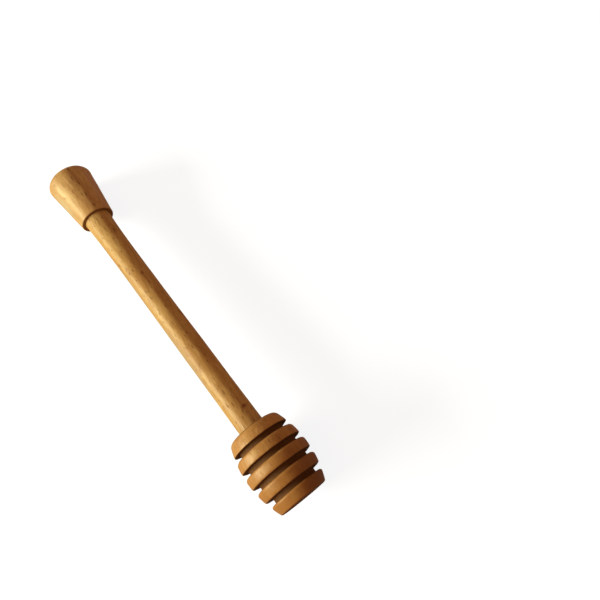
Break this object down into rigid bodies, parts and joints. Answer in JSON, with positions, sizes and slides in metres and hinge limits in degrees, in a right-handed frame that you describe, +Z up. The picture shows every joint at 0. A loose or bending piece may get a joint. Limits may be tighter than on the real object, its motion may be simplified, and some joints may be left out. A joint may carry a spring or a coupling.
{
  "type": "honey dipper",
  "caption": "Turned wooden honey dipper: a barrel-shaped ringed head on a round handle with a tapered knob, for lifting and drizzling honey.",
  "frame": {"origin": "on the surface that the dipper lies on, under the middle of its length and width", "axes": "+X runs from the knob towards the head, +Z is up from the surface, and +Y lies across the dipper"},
  "size_m": [0.1602, 0.0248, 0.0249],
  "materials": {
    "head_wood": "oiled, close grained, red-brown",
    "handle_wood": "oiled, golden tan with dark flecks",
    "knob_wood": "oiled, golden tan with darker streaks"
  },
  "bodies": {
    "root": {"head": "head_wood", "handle": "handle_wood", "knob": "knob_wood"}
  },
  "joints": []
}
